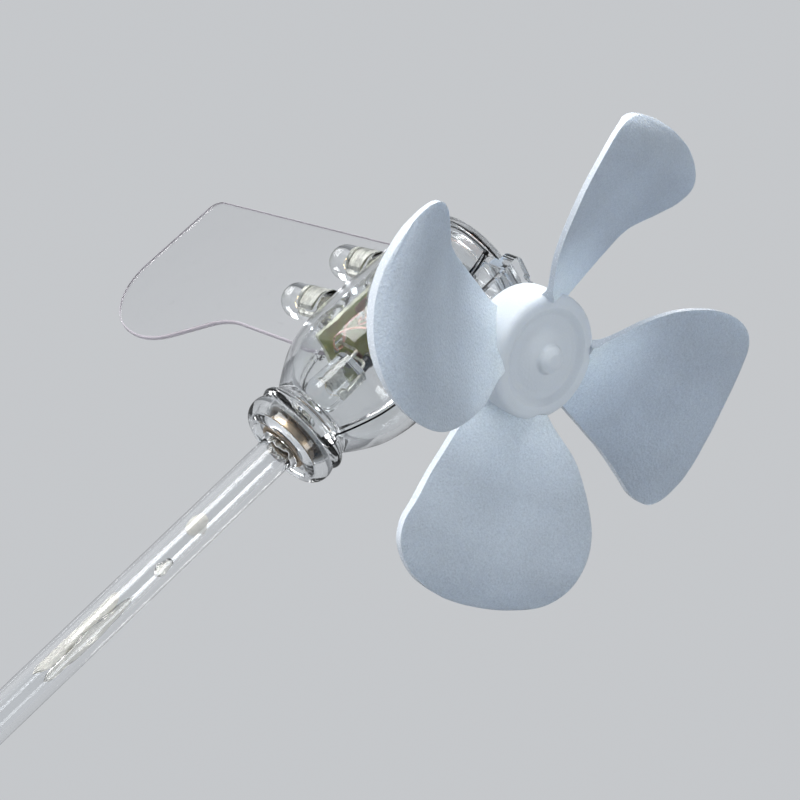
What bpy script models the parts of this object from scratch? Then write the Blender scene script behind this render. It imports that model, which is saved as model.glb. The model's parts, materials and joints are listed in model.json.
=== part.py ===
# Wind-driven LED windmill on a clear wand.
# Metres, +Z up the wand, the propeller faces -Y, the tail fin points to +Y.
# The wand's foot is at the origin; the propeller axis crosses the wand axis
# at height AXIS_H.  Every length below is in millimetres and scaled by MM.
import math
import bpy
import bmesh
from mathutils import Vector, Matrix

for _o in list(bpy.data.objects):
    bpy.data.objects.remove(_o, do_unlink=True)

MM = 0.001
GAP = 0.3                 # play or glue line between neighbouring pieces
AXIS_H = 180.0            # foot of the wand to the propeller axis

# wand
TUBE_R = 2.5
TUBE_BORE_R = 1.5
TUBE_TOP = -24.2
PLUG_HEAD = 2.0

# head swivel
BUSH_R = 3.5
BUSH_FLANGE_R = 4.6
COLLAR_R = 6.87
COLLAR_THROAT_R = 3.9
COLLAR_MOUTH_R = 4.3

# housing
WALL = 1.0
CAP_R = 8.1
CAP_TOP = 10.0
SNOUT_HALF_W = 4.6
SNOUT_FRONT = -11.0
SNOUT_TOP = 10.3
SNOUT_BOTTOM = -7.5
NECK_R = 3.3
NECK_FRONT = -16.6

# tail fin
FIN_T = 0.8

# LEDs: plain 5 mm lamps without a flange
LED_R = 2.5
LED_LEN = 8.7
LED_BORE_R = 2.05
LED_BORE_DEPTH = 4.7
LEAD_T = 0.5
LED_TILT = math.radians(-8.0)
LED_REAR_Y = 7.56
LED_UPPER = (-4.6, 0.06)       # x, z of the base
LED_LOWER = (-5.4, -8.94)
LED_REAR_LEG = 0.6
LED_DOWN_XY = (-1.0, 0.8)
LED_DOWN_BASE = -13.3

# generator
STATOR_R = 7.3
MAGNET_R = 4.0
SHAFT_R = 1.0
BORE_R = 1.3
BUSHING_R = 2.2
BOARD_Y = 5.7
BOARD_T = 0.8
BOARD_HALF_W = 4.9
BOARD_Z = (-13.6, 2.8)

# propeller
HUB_R = 8.35
HUB_WALL = 1.2
HUB_REAR = 18.0           # distance in front of the wand axis
HUB_RIM = 24.1
HUB_NUB = 25.7
DISC_Y = 20.05            # plane the blade offsets are measured from
BLADES = 4
BLADE_T = 0.8
BLADE_PHASE = 113.5
BLADE_CAMBER = 0.7
WARP = {3: 0.09}          # blade 3 came out of the mould flatter than the others

parts = []


def link(name, bm, loc=(0, 0, 0), smooth=True, angle=35):
    bmesh.ops.remove_doubles(bm, verts=bm.verts, dist=1e-7)
    bmesh.ops.recalc_face_normals(bm, faces=bm.faces)
    me = bpy.data.meshes.new(name)
    bm.to_mesh(me)
    bm.free()
    ob = bpy.data.objects.new(name, me)
    ob.location = (loc[0] * MM, loc[1] * MM, loc[2] * MM)
    bpy.context.scene.collection.objects.link(ob)
    if smooth:
        me.shade_smooth()
        me.set_sharp_from_angle(angle=math.radians(angle))
    return ob


def lathe_bm(profile, seg, axis='Z'):
    """Closed (r, h) outline turned about Z or about -Y (h forwards)."""
    bm = bmesh.new()
    rings = []
    for r, h in profile:
        if r < 1e-6:
            rings.append([bm.verts.new(place(0, 0, h, axis))])
        else:
            rings.append([bm.verts.new(place(r * math.cos(2 * math.pi * i / seg),
                                             r * math.sin(2 * math.pi * i / seg), h, axis))
                          for i in range(seg)])
    n = len(rings)
    for k in range(n):
        a, b = rings[k], rings[(k + 1) % n]
        if len(a) == 1 and len(b) == 1:
            continue
        for i in range(seg):
            j = (i + 1) % seg
            if len(a) == 1:
                bm.faces.new((a[0], b[j], b[i]))
            elif len(b) == 1:
                bm.faces.new((a[i], a[j], b[0]))
            else:
                bm.faces.new((a[i], a[j], b[j], b[i]))
    return bm


def place(x, y, h, axis):
    if axis == 'Z':
        return Vector((x * MM, y * MM, h * MM))
    return Vector((x * MM, -h * MM, y * MM))


def lathe(name, profile, seg=32, axis='Z', loc=(0, 0, AXIS_H)):
    return link(name, lathe_bm(profile, seg, axis), loc)


def prism_bm(outline, lo, hi, axis='X'):
    """Flat outline extruded between lo and hi along one axis."""
    bm = bmesh.new()

    def p(u, v, t):
        if axis == 'X':
            return Vector((t * MM, u * MM, v * MM))
        if axis == 'Y':
            return Vector((u * MM, t * MM, v * MM))
        return Vector((u * MM, v * MM, t * MM))
    a = [bm.verts.new(p(u, v, lo)) for u, v in outline]
    b = [bm.verts.new(p(u, v, hi)) for u, v in outline]
    n = len(outline)
    bm.faces.new(a)
    bm.faces.new(list(reversed(b)))
    for i in range(n):
        j = (i + 1) % n
        bm.faces.new((a[i], a[j], b[j], b[i]))
    return bm


def rect(u0, u1, v0, v1):
    return [(u0, v0), (u1, v0), (u1, v1), (u0, v1)]


def cutter(name, bm, loc=(0, 0, AXIS_H)):
    ob = link(name, bm, loc, smooth=False)
    ob.hide_render = True
    ob.display_type = 'WIRE'
    return ob


def boolean(ob, other, op='DIFFERENCE'):
    m = ob.modifiers.new(op.lower() + str(len(ob.modifiers)), 'BOOLEAN')
    m.operation = op
    m.solver = 'EXACT'
    m.object = other


def material(ob, name, colour, rough, metal=0.0, transmission=0.0, alpha=1.0):
    m = bpy.data.materials.get(name)
    if m is None:
        m = bpy.data.materials.new(name)
        m.use_nodes = True
        b = m.node_tree.nodes['Principled BSDF']
        b.inputs['Base Color'].default_value = (*colour, 1)
        b.inputs['Roughness'].default_value = rough
        b.inputs['Metallic'].default_value = metal
        b.inputs['Transmission Weight'].default_value = transmission
        b.inputs['IOR'].default_value = 1.49
    ob.data.materials.append(m)
    parts.append(ob)
    return ob


CLEAR = ('clear_plastic', (0.92, 0.94, 0.95), 0.06, 0.0, 0.9)
STEEL = ('steel', (0.62, 0.62, 0.60), 0.3, 1.0, 0.0)
TINNED = ('tinned_lead', (0.70, 0.70, 0.66), 0.35, 1.0, 0.0)
BRASS = ('brass', (0.78, 0.60, 0.30), 0.3, 1.0, 0.0)
COPPER = ('copper_wire', (0.80, 0.45, 0.32), 0.35, 1.0, 0.0)
BOARD = ('board_green', (0.36, 0.40, 0.14), 0.5, 0.0, 0.0)
FROST = ('frosted_plastic', (0.72, 0.80, 0.90), 0.5, 0.0, 0.3)
DARK = ('dark_ferrite', (0.10, 0.10, 0.11), 0.5, 0.0, 0.0)
CREAM = ('cream_plastic', (0.82, 0.74, 0.64), 0.45, 0.0, 0.0)
BLACK = ('black_plastic', (0.05, 0.05, 0.05), 0.4, 0.0, 0.0)
BRONZE = ('bronze_bush', (0.36, 0.27, 0.18), 0.35, 1.0, 0.0)


def arc(cr, ch, rad, a0, a1, n):
    return [(cr + rad * math.cos(math.radians(a0 + (a1 - a0) * i / n)),
             ch + rad * math.sin(math.radians(a0 + (a1 - a0) * i / n))) for i in range(n + 1)]


# --- wand ---------------------------------------------------------------
bottom = PLUG_HEAD + GAP - AXIS_H
tube = lathe('stake_tube', [(TUBE_BORE_R, bottom), (TUBE_R, bottom),
                            (TUBE_R, TUBE_TOP - 0.3), (TUBE_R - 0.3, TUBE_TOP),
                            (TUBE_BORE_R, TUBE_TOP)], 32)
material(tube, *CLEAR)
plug = lathe('stake_foot_plug', [(0, -AXIS_H), (TUBE_R - 0.4, -AXIS_H), (TUBE_R, -AXIS_H + 0.4),
                                 (TUBE_R, -AXIS_H + PLUG_HEAD), (TUBE_BORE_R - GAP, -AXIS_H + PLUG_HEAD),
                                 (TUBE_BORE_R - GAP, -AXIS_H + 8.0), (0, -AXIS_H + 8.6)], 24)
material(plug, *CLEAR)

# --- swivel -------------------------------------------------------------
bush = lathe('pivot_bush', [(TUBE_R + GAP, -28.0), (BUSH_R, -28.0), (BUSH_R, -26.85),
                            (BUSH_FLANGE_R, -26.85), (BUSH_FLANGE_R, -26.05), (BUSH_R, -26.05),
                            (BUSH_R, -24.4), (TUBE_R + GAP, -24.4)], 32)
material(bush, *BRONZE)
washer = lathe('thrust_washer', [(BUSH_R + GAP, -25.75), (4.9, -25.75), (4.9, -25.35), (BUSH_R + GAP, -25.35)], 32)
material(washer, *STEEL)
# outer bead: half an oval, 4.4 high, cut flat where the housing turns on it
bead = [(COLLAR_R - 1.92 + 1.92 * math.cos(math.radians(a)), -26.3 + 2.2 * math.sin(math.radians(a)))
        for a in (-84, -66, -48, -30, -12, 6, 25.6)]
collar = lathe('neck_collar',
               [(COLLAR_THROAT_R, -27.5), (COLLAR_MOUTH_R, -28.15), (4.7, -28.45)] + bead
               + [(5.2, -25.35), (5.2, -27.15), (COLLAR_THROAT_R, -27.15)], 40)
material(collar, *CLEAR)

# --- housing ------------------------------------------------------------
OUTER = [(5.9, -25.05), (6.5, -24.85), (6.88, -24.2), (6.6, -23.5), (6.0, -23.1), (6.05, -22.4), (7.1, -20.8),
         (8.25, -18.8), (8.98, -17.2), (9.47, -15.5), (9.87, -13.3), (10.02, -10.8), (9.95, -7.5),
         (9.8, -3.5), (9.6, 0.5), (9.3, 4.0), (8.85, 6.8), (8.3, 8.7)]
INNER = [(7.35, 8.7), (7.85, 6.8), (8.3, 4.0), (8.6, 0.5), (8.8, -3.5), (8.95, -7.5),
         (9.05, -10.8), (8.95, -13.2), (8.5, -15.5), (7.9, -17.2), (7.1, -18.8), (5.9, -20.4),
         (4.7, -21.6), (3.95, -22.2), (3.95, -25.05)]

slot = FIN_T / 2 + GAP
for side, sign in (('housing_left', -1), ('housing_right', 1)):
    half = lathe(side, OUTER + INNER, 44)
    far = sign * 0.15
    box = rect(min(far, -sign * 30), max(far, -sign * 30), -40, 40)
    boolean(half, cutter('cut_half_' + side, prism_bm(box, -60, 40, 'Z')))
    boolean(half, cutter('cut_front_' + side,
                         prism_bm(rect(-SNOUT_HALF_W - GAP, SNOUT_HALF_W + GAP, SNOUT_BOTTOM - GAP, 14), -30, -4, 'Y')))
    boolean(half, cutter('cut_fin_' + side, prism_bm(rect(-slot, slot, -13.6, 14), 6.6, 30, 'Y')))
    if sign < 0:
        for tag, (xx, zz) in (('u', LED_UPPER), ('l', LED_LOWER)):
            bm = lathe_bm([(0, -20), (LED_R + GAP, -20), (LED_R + GAP, 2), (0, 2)], 24, 'Y')
            bmesh.ops.rotate(bm, verts=bm.verts, cent=(0, 0, 0), matrix=Matrix.Rotation(LED_TILT, 3, 'X'))
            boolean(half, cutter('cut_led_' + tag, bm, (xx, LED_REAR_Y, AXIS_H + zz)))
    material(half, *CLEAR)

cap = lathe('top_cap', [(0, 9.0), (5.6, 9.0), (5.6, 7.6), (6.4, 7.6), (6.6, 9.0), (CAP_R - 0.2, 9.0),
                        (CAP_R, 9.2), (CAP_R, CAP_TOP - 0.2), (CAP_R - 0.2, CAP_TOP), (0, CAP_TOP)], 44)
material(cap, *CLEAR)

W, T = SNOUT_HALF_W, 0.9
snout = link('bearing_snout', prism_bm(rect(-W, W, SNOUT_BOTTOM, 8.6), SNOUT_FRONT, -6.8, 'Y'), (0, 0, AXIS_H), smooth=True)
boolean(snout, cutter('add_lug', prism_bm([(-W, 6.0), (W, 6.0), (W, SNOUT_TOP - 0.8), (W - 0.8, SNOUT_TOP),
                                           (-W + 0.8, SNOUT_TOP), (-W, SNOUT_TOP - 0.8)], SNOUT_FRONT, -8.8, 'Y')), 'UNION')
boolean(snout, cutter('add_neck', lathe_bm([(0, 10.5), (NECK_R, 10.5), (NECK_R, -NECK_FRONT - 0.4),
                                            (NECK_R - 0.4, -NECK_FRONT), (0, -NECK_FRONT)], 28, 'Y')), 'UNION')
boolean(snout, cutter('cut_inside', prism_bm(rect(-W + T, W - T, SNOUT_BOTTOM + T, 8.6 - T), SNOUT_FRONT + T, 0, 'Y')))
boolean(snout, cutter('cut_bore', lathe_bm([(0, -2), (BUSHING_R + GAP, -2), (BUSHING_R + GAP, 30), (0, 30)], 24, 'Y')))
material(snout, *CLEAR)


# --- tail fin -----------------------------------------------------------
def fillet(points, steps=5):
    """Round each (y, z, radius) corner of a closed outline."""
    out = []
    n = len(points)
    for i in range(n):
        p = Vector(points[i][:2])
        rad = points[i][2]
        if rad <= 0:
            out.append((p.x, p.y))
            continue
        a = (Vector(points[i - 1][:2]) - p).normalized()
        b = (Vector(points[(i + 1) % n][:2]) - p).normalized()
        half = a.angle(b) / 2
        d = rad / math.tan(half)
        c = p + (a + b).normalized() * (rad / math.sin(half))
        s, e = p + a * d - c, p + b * d - c
        turn = s.angle_signed(e)
        k = max(2, int(steps * abs(turn) / (math.pi / 2) + 1.5))
        for q in range(k + 1):
            v = Matrix.Rotation(-turn * q / k, 2) @ s
            out.append((c.x + v.x, c.y + v.y))
    return out


FIN = [(7.2, 8.4, 0), (53.95, 3.45, 2.1), (53.95, -23.0, 11.3), (38.5, -23.0, 9.5), (29.2, -14.35, 8.0), (7.2, -12.95, 0)]
fin = link('tail_fin', prism_bm(fillet(FIN), -FIN_T / 2, FIN_T / 2, 'X'), (0, 0, AXIS_H), smooth=True)
material(fin, *CLEAR)


# --- LEDs ---------------------------------------------------------------
def led(tag, turn, loc, leg, foot):
    """Lens cup, cathode and anode; h runs from the base to the dome tip."""
    body = LED_LEN - LED_R
    profile = [(LED_BORE_R, 0), (LED_R, 0), (LED_R, body)] \
        + arc(0, body, LED_R, 15, 75, 4) + [(0, LED_LEN), (0, LED_BORE_DEPTH),
                                            (LED_BORE_R - 0.5, LED_BORE_DEPTH), (LED_BORE_R, LED_BORE_DEPTH - 0.5)]
    bm = lathe_bm(profile, 24, 'Z')
    bmesh.ops.transform(bm, matrix=turn, verts=bm.verts)
    material(link('led_' + tag + '_lens', bm, loc), *CLEAR)
    t = LEAD_T / 2
    cat = [(-1.5, 1.2), (-1.27 - t, 1.2), (-1.27 - t, -leg), (-1.27 + t, -leg), (-1.27 + t, 1.2),
           (0.35, 2.0), (0.35, 3.6), (0.0, 4.0), (-1.0, 4.0), (-1.5, 3.4)]
    ano = [(1.27 - t, -leg), (1.27 + t, -leg), (1.27 + t, 3.0), (1.1, 3.8), (0.8, 3.8), (0.8, 1.6), (1.27 - t, 1.2)]
    for nm, outline in (('cathode', cat), ('anode', ano)):
        bm = prism_bm(outline, -t, t, 'Y')
        bmesh.ops.transform(bm, matrix=turn, verts=bm.verts)
        ob = link('led_' + tag + '_' + nm, bm, loc, smooth=False)
        if foot:
            u = -1.27 if nm == 'cathode' else 1.27
            fb = prism_bm(rect(u - t, u + t, -leg, -leg + LEAD_T), -t, foot, 'Y')
            bmesh.ops.transform(fb, matrix=turn, verts=fb.verts)
            boolean(ob, cutter('add_foot_' + tag + nm, fb, loc), 'UNION')
        material(ob, *TINNED)


# the dome of the lower lamp points down the wand, its legs turn back to the board
down = Matrix.Rotation(math.pi, 4, 'X')
led('down', down @ Matrix.Rotation(0, 4, 'Z'), (LED_DOWN_XY[0], LED_DOWN_XY[1], AXIS_H + LED_DOWN_BASE), 1.6, -4.6)
# rear lamps: dome to +Y, legs one above the other
rear = Matrix.Rotation(LED_TILT, 4, 'X') @ Matrix.Rotation(-math.pi / 2, 4, 'X') @ Matrix.Rotation(math.pi / 2, 4, 'Z')
led('rear_upper', rear, (LED_UPPER[0], LED_REAR_Y, AXIS_H + LED_UPPER[1]), LED_REAR_LEG, 0)
led('rear_lower', rear, (LED_LOWER[0], LED_REAR_Y, AXIS_H + LED_LOWER[1]), LED_REAR_LEG, 0)

# --- board and generator ------------------------------------------------
board = link('circuit_board', prism_bm(rect(-BOARD_HALF_W, BOARD_HALF_W, *BOARD_Z), BOARD_Y, BOARD_Y + BOARD_T, 'Y'),
             (0, 0, AXIS_H), smooth=False)
material(board, *BOARD)
diode = link('rectifier_diode', lathe_bm([(0, -1.9), (0.7, -1.9), (0.9, -1.7), (0.9, 1.7), (0.7, 1.9), (0, 1.9)], 16, 'Z'),
             (3.0, BOARD_Y - 1.25, AXIS_H - 11.0))
material(diode, *BLACK)

lathe_y = lambda name, prof, seg, mat: material(lathe(name, prof, seg, 'Y'), *mat)
lathe_y('pole_plate_front', [(1.7, 2.5), (STATOR_R, 2.5), (STATOR_R, 3.2), (1.7, 3.2)], 32, STEEL)
lathe_y('pole_plate_rear', [(2.5, -4.4), (STATOR_R, -4.4), (STATOR_R, -3.7), (2.5, -3.7)], 32, STEEL)
lathe_y('coil_bobbin', [(4.4, -3.4), (STATOR_R, -3.4), (STATOR_R, -2.8), (5.0, -2.8), (5.0, 1.6),
                        (STATOR_R, 1.6), (STATOR_R, 2.2), (4.4, 2.2)], 32, CREAM)
lathe_y('generator_coil', [(5.3, -2.5), (7.0, -2.5), (7.2, -2.2), (7.2, 1.0), (7.0, 1.3), (5.3, 1.3)], 32, COPPER)
lathe_y('generator_magnet', [(BORE_R, -3.0), (MAGNET_R, -3.0), (MAGNET_R, 1.9), (BORE_R, 1.9)], 28, DARK)
lathe_y('rotor_shaft', [(0, -5.2), (SHAFT_R - 0.2, -5.2), (SHAFT_R, -5.0), (SHAFT_R, 22.6),
                        (SHAFT_R - 0.2, 22.8), (0, 22.8)], 20, STEEL)
lathe_y('shaft_bush_rear', [(BORE_R, -4.9), (BUSHING_R, -4.9), (BUSHING_R, -3.5), (BORE_R, -3.5)], 24, BRASS)
lathe_y('shaft_bush_front', [(BORE_R, 12.2), (BUSHING_R, 12.2), (BUSHING_R, 16.4), (BORE_R, 16.4)], 24, BRASS)

# --- propeller ----------------------------------------------------------
# (radius, angle, forward offset) along the two long edges, hub to tip
LEADING = [(7.7, 36.5, 3.8), (12.2, 44.4, 6.5), (16.0, 45.4, 8.2), (22.8, 41.5, 11.0), (27.8, 34.9, 11.7),
           (31.0, 27.8, 10.5), (32.4, 19.8, 7.9), (32.9, 11.0, 6.0), (33.0, 3.7, 5.3)]
TRAILING = [(7.7, -17.5, -1.2), (12.0, -16.5, -0.9), (16.5, -15.3, -0.4), (21.0, -15.0, 0.3), (25.0, -16.8, 2.1),
            (28.0, -17.8, 3.3), (30.7, -15.7, 4.5), (32.4, -8.4, 5.1), (33.0, 3.0, 5.3)]


def spline(pts, t):
    """Catmull-Rom through the stations, t from 0 to 1."""
    n = len(pts) - 1
    x = min(max(t, 0.0), 1.0) * n
    i = min(int(x), n - 1)
    f = x - i
    p0, p1, p2, p3 = pts[max(i - 1, 0)], pts[i], pts[i + 1], pts[min(i + 2, n)]
    return [0.5 * (2 * b + (c - a) * f + (2 * a - 5 * b + 4 * c - d) * f * f
                   + (3 * b - a - 3 * c + d) * f ** 3) for a, b, c, d in zip(p0, p1, p2, p3)]


def blade_bm(phase, warp=0.0, rows=18, cols=9):
    grid = []
    for i in range(rows + 1):
        t = 1 - (1 - i / rows) ** 1.35
        lead, trail = spline(LEADING, t), spline(TRAILING, t)
        row = []
        for j in range(cols + 1):
            c = j / cols
            r, a, w = [q * (1 - c) + p * c for p, q in zip(lead, trail)]
            w += BLADE_CAMBER * math.sin(math.pi * c) * math.sin(math.pi * min(1, 0.15 + t * 0.8))
            # radial and sideways distance from the blade's own centre line
            u, v = r * math.cos(math.radians(a)), r * math.sin(math.radians(a))
            flex = warp * min(1.0, max(0.0, (r - HUB_R) / 10))
            w, v = w - flex * v, v * (1 + flex)
            c0, s0 = math.cos(math.radians(phase)), math.sin(math.radians(phase))
            row.append(Vector((u * c0 - v * s0, -DISC_Y - w, u * s0 + v * c0)))
        grid.append(row)
    bm = bmesh.new()
    front, back = [], []
    for i, row in enumerate(grid):
        fr, bk = [], []
        for j, p in enumerate(row):
            du = grid[min(i + 1, rows)][j] - grid[max(i - 1, 0)][j]
            k = i if i < rows else rows - 1
            dv = grid[k][min(j + 1, cols)] - grid[k][max(j - 1, 0)]
            # the mould opens along Y, so the rim of the blade is cut parallel to Y
            nrm = Vector((0, BLADE_T / 2 / max(0.62, abs(du.cross(dv).normalized().y)), 0))
            fr.append(bm.verts.new((p + nrm) * MM))
            bk.append(bm.verts.new((p - nrm) * MM))
        front.append(fr)
        back.append(bk)
    for i in range(rows):
        for j in range(cols):
            bm.faces.new((front[i][j], front[i][j + 1], front[i + 1][j + 1], front[i + 1][j]))
            bm.faces.new((back[i][j], back[i + 1][j], back[i + 1][j + 1], back[i][j + 1]))
        for j, o in ((0, 1), (cols, -1)):
            q = (front[i][j], front[i + 1][j], back[i + 1][j], back[i][j])
            bm.faces.new(q if o > 0 else tuple(reversed(q)))
    for i, o in ((0, 1), (rows, -1)):
        for j in range(cols):
            q = (front[i][j + 1], front[i][j], back[i][j], back[i][j + 1])
            bm.faces.new(q if o > 0 else tuple(reversed(q)))
    return bm


IN_R = HUB_R - HUB_WALL
hub_profile = [(BORE_R, HUB_REAR + 0.6), (2.6, HUB_REAR + 0.6), (2.6, HUB_RIM - 2.0), (IN_R - 0.8, HUB_RIM - 2.0),
               (IN_R, HUB_RIM - 2.8), (IN_R, HUB_REAR), (HUB_R - 0.2, HUB_REAR), (HUB_R, HUB_REAR + 0.2),
               (HUB_R, HUB_RIM - 1.4), (HUB_R - 0.45, HUB_RIM - 0.4), (HUB_R - 1.4, HUB_RIM),
               (6.0, HUB_RIM + 0.05), (5.6, HUB_RIM - 0.45), (5.1, HUB_RIM - 0.35), (3.6, HUB_RIM + 0.35),
               (1.9, HUB_RIM + 0.65), (1.6, HUB_NUB - 0.5), (1.0, HUB_NUB), (0, HUB_NUB + 0.05),
               (0, HUB_RIM - 1.0), (BORE_R, HUB_RIM - 1.0)]
prop = lathe('propeller', hub_profile, 48, 'Y')
for k in range(BLADES):
    boolean(prop, cutter('add_blade_%d' % k, blade_bm(BLADE_PHASE + 360.0 * k / BLADES, WARP.get(k, 0.0))), 'UNION')
material(prop, *FROST)
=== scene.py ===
# Looks of the wind-driven LED windmill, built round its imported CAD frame.
import json
import math
import random

import bmesh
import bpy
from mathutils import Matrix, Vector

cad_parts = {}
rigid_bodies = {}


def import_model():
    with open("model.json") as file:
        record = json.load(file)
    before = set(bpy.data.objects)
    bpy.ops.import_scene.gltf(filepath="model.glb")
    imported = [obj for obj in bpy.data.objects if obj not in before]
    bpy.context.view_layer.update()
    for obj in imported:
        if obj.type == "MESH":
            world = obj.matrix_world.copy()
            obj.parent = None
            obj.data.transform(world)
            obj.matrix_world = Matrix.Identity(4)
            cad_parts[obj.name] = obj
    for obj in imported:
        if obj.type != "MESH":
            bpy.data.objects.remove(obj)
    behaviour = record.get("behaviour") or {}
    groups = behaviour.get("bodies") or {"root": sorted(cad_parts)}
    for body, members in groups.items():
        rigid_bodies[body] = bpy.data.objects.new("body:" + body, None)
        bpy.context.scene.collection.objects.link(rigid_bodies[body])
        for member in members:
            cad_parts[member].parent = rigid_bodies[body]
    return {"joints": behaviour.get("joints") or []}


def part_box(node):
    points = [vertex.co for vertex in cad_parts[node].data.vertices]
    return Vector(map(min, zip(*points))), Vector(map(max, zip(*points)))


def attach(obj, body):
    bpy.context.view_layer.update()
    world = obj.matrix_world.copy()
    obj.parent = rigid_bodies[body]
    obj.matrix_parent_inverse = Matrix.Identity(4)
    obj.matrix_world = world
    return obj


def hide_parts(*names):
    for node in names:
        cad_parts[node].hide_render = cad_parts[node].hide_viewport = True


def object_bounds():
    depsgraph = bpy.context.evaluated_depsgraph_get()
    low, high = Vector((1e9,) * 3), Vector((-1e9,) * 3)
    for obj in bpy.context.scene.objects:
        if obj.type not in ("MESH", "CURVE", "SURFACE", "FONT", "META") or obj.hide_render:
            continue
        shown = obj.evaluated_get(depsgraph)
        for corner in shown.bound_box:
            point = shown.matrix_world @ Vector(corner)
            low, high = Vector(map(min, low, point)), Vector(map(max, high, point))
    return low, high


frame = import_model()
cad_low, cad_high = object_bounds()
MM = 0.001
SPIN = [j for j in frame["joints"] if j["name"] == "propeller_spin"][0]["pos_m"]
H = SPIN[2]                                  # height of the propeller axis
AXIS = Vector((0, 0, H))
random.seed(7)


def at(x, y, z):
    """Millimetres from the point where the propeller axis crosses the wand axis."""
    return Vector((x * MM, y * MM, z * MM)) + AXIS


# ------------------------------------------------------------------ camera
CAM_POS = Vector((-0.17955, -0.22480, H - 0.10841))
RIGHT = Vector((0.38799, -0.62190, 0.68023))
UP = Vector((-0.69299, 0.28974, 0.66016))
BACK = Vector((-0.60764, -0.72753, -0.31855))
cam_data = bpy.data.cameras.new("camera")
cam_data.sensor_width = 36.0
cam_data.lens = 2285.6 / 800.0 * 36.0
cam_data.clip_start = 0.01
cam_data.clip_end = 50
camera = bpy.data.objects.new("camera", cam_data)
camera.matrix_world = Matrix((
    (RIGHT.x, UP.x, BACK.x, CAM_POS.x),
    (RIGHT.y, UP.y, BACK.y, CAM_POS.y),
    (RIGHT.z, UP.z, BACK.z, CAM_POS.z),
    (0, 0, 0, 1)))
bpy.context.scene.collection.objects.link(camera)
bpy.context.scene.camera = camera


# ------------------------------------------------------------------ helpers
PIECES = set()


def finish_mesh(name, bm, body, mat, replaces=(), smooth=True, angle=40, bevel=0.0, bevel_seg=2, mats=()):
    bmesh.ops.remove_doubles(bm, verts=bm.verts, dist=2e-7)
    bmesh.ops.recalc_face_normals(bm, faces=bm.faces)
    me = bpy.data.meshes.new(name)
    bm.to_mesh(me)
    bm.free()
    ob = bpy.data.objects.new(name, me)
    bpy.context.scene.collection.objects.link(ob)
    PIECES.add(ob.name)
    for m in (mat, *mats):
        me.materials.append(m)
    if bevel:
        b = ob.modifiers.new("bevel", "BEVEL")
        b.width = bevel * MM
        b.segments = bevel_seg
        b.limit_method = "ANGLE"
        b.angle_limit = math.radians(35)
        b.harden_normals = False
        bake(ob)
    if smooth:
        ob.data.shade_smooth()
        ob.data.set_sharp_from_angle(angle=math.radians(angle))
    if body:
        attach(ob, body)
    if replaces:
        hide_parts(*replaces)
    return ob


def bake(ob):
    """Applies the modifiers in place."""
    dg = bpy.context.evaluated_depsgraph_get()
    dg.update()
    me = bpy.data.meshes.new_from_object(ob.evaluated_get(dg))
    old = ob.data
    ob.modifiers.clear()
    ob.data = me
    me.name = ob.name
    bpy.data.meshes.remove(old)


def boolean(ob, cutters, op="DIFFERENCE"):
    for c in cutters:
        m = ob.modifiers.new("b", "BOOLEAN")
        m.operation = op
        m.solver = "EXACT"
        m.object = c
    bake(ob)
    for c in cutters:
        me = c.data
        bpy.data.objects.remove(c)
        bpy.data.meshes.remove(me)


def plain(bm, name="cutter"):
    bmesh.ops.remove_doubles(bm, verts=bm.verts, dist=2e-7)
    bmesh.ops.recalc_face_normals(bm, faces=bm.faces)
    me = bpy.data.meshes.new(name)
    bm.to_mesh(me)
    bm.free()
    ob = bpy.data.objects.new(name, me)
    bpy.context.scene.collection.objects.link(ob)
    return ob


def lathe_bm(profile, seg, axis="Z", centre=(0, 0, 0), bm=None, a0=0.0, wobble=None):
    bm = bm or bmesh.new()
    c = Vector(centre)
    rings = []
    for r, h in profile:
        ring = []
        for i in range(1 if r < 1e-6 else seg):
            a = 2 * math.pi * i / seg + a0
            rr, hh = r, h
            if wobble:
                rr, hh = wobble(r, h, a)
            x, y = rr * math.cos(a), rr * math.sin(a)
            p = (x, y, hh) if axis == "Z" else (x, -hh, y)
            ring.append(bm.verts.new(at(p[0] + c.x, p[1] + c.y, p[2] + c.z)))
        rings.append(ring)
    n = len(rings)
    for k in range(n):
        a, b = rings[k], rings[(k + 1) % n]
        if len(a) == 1 and len(b) == 1:
            continue
        for i in range(seg):
            j = (i + 1) % seg
            if len(a) == 1:
                bm.faces.new((a[0], b[j], b[i]))
            elif len(b) == 1:
                bm.faces.new((a[i], a[j], b[0]))
            else:
                bm.faces.new((a[i], a[j], b[j], b[i]))
    return bm


def rounded(points, steps=4):
    """Closed (u, v, radius) outline with each corner rounded."""
    out = []
    n = len(points)
    for i in range(n):
        p = Vector(points[i][:2])
        rad = points[i][2] if len(points[i]) > 2 else 0
        if rad <= 0:
            out.append((p.x, p.y))
            continue
        a = Vector(points[i - 1][:2]) - p
        b = Vector(points[(i + 1) % n][:2]) - p
        la, lb = a.length, b.length
        a.normalize()
        b.normalize()
        half = a.angle(b) / 2
        if half > math.radians(88):
            out.append((p.x, p.y))
            continue
        d = min(rad / math.tan(half), 0.74 * la, 0.74 * lb)
        rad = d * math.tan(half)
        c = p + (a + b).normalized() * (rad / math.sin(half))
        s, e = p + a * d - c, p + b * d - c
        turn = s.angle_signed(e)
        k = max(2, int(steps * abs(turn) / (math.pi / 2) + 1.5))
        for q in range(k + 1):
            v = Matrix.Rotation(-turn * q / k, 2) @ s
            out.append((c.x + v.x, c.y + v.y))
    return out


def lathe(name, profile, body, mat, seg=96, axis="Z", centre=(0, 0, 0), replaces=(), steps=4, angle=50, wobble=None):
    prof = [(max(r, 0.0), h) for r, h in rounded(profile, steps)]
    return finish_mesh(name, lathe_bm(prof, seg, axis, centre, wobble=wobble), body, mat, replaces, angle=angle)


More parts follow.
